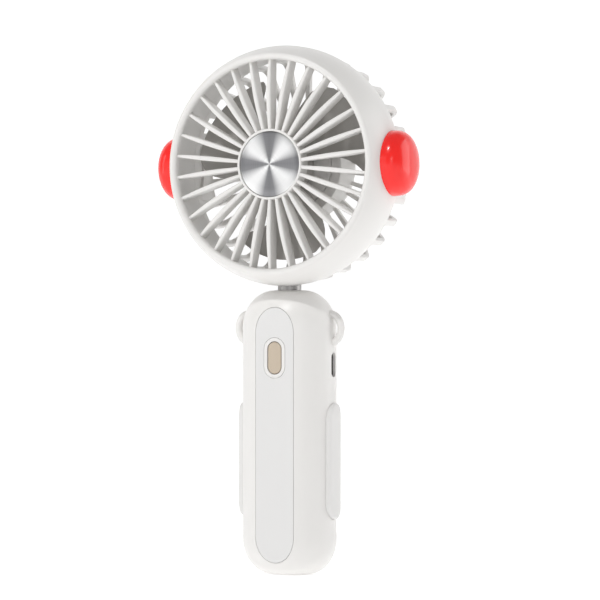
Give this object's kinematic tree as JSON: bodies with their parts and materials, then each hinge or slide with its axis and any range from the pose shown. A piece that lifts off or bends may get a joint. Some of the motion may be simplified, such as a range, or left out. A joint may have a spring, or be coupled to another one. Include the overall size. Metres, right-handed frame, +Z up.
{
  "type": "handheld electric fan",
  "caption": "Handheld electric fan: round grille head with a three-blade impeller on a swivel neck above an oval battery handle with a sprung power button.",
  "frame": {"origin": "centre of the small flat under the handle", "axes": "+Z up along the handle, -Y the way the air blows, +X the fan's right side"},
  "size_m": [0.1044, 0.0378, 0.1999],
  "materials": {
    "shell_white": "satin",
    "panel_white": "matte",
    "pad_white": "matte",
    "impeller_white": "satin",
    "button_champagne": "satin",
    "ear_red": "gloss",
    "neck_grey": "satin",
    "hub_metal": "brushed",
    "screw_steel": "satin",
    "bearing_steel": "polished",
    "core_steel": "satin",
    "winding_copper": "enamelled",
    "nickel": "satin",
    "socket_metal": "satin",
    "board_green": "solder mask",
    "chip_black": "matte",
    "cell_wrap": "shrink film",
    "lead_rubber": "matte",
    "acetal": "matte"
  },
  "bodies": {
    "handle": {"handle_shell": "shell_white", "front_panel": "panel_white", "button_bezel": "shell_white", "rear_cover": "shell_white", "cover_screws": "screw_steel", "grip_pad_left": "pad_white", "grip_pad_right": "pad_white", "usb_socket": "socket_metal", "circuit_board": "board_green", "board_chips": "chip_black", "switch_body": "chip_black", "battery_cell": "cell_wrap", "battery_tabs": "nickel", "battery_leads": "lead_rubber", "neck_bush": "acetal"},
    "power_button": {"power_button": "button_champagne", "switch_plunger": "acetal"},
    "head": {"neck_stem": "neck_grey", "stop_pin": "screw_steel", "stem_clip": "screw_steel", "friction_washer": "acetal", "neck_screws": "screw_steel", "front_grille": "shell_white", "hub_disc": "hub_metal", "ear_cap_left": "ear_red", "ear_cap_right": "ear_red", "rear_grille": "shell_white", "rear_cap": "shell_white", "motor_base": "shell_white", "motor_screws": "screw_steel", "bearing_front": "bearing_steel", "bearing_rear": "bearing_steel", "stator_core": "core_steel", "stator_windings": "winding_copper", "motor_board": "board_green", "motor_lead": "lead_rubber"},
    "rotor": {"impeller": "impeller_white", "rotor_cup": "bearing_steel", "magnet_ring": "core_steel", "motor_shaft": "bearing_steel", "shaft_clip": "screw_steel"}
  },
  "joints": [
    {"name": "head_swivel", "type": "hinge", "parent": "handle", "child": "head", "pos_m": [0, 0, 0.1016], "axis": [0, 0, 1], "range_deg": [-90, 90]},
    {"name": "fan_spin", "type": "hinge", "parent": "head", "child": "rotor", "pos_m": [0, 0, 0.1545], "axis": [0, 1, 0], "continuous": true},
    {"name": "button_press", "type": "slide", "parent": "handle", "child": "power_button", "axis": [0, 1, 0], "range_m": [0, 0.0004], "stiffness_N_per_m": 1500}
  ]
}
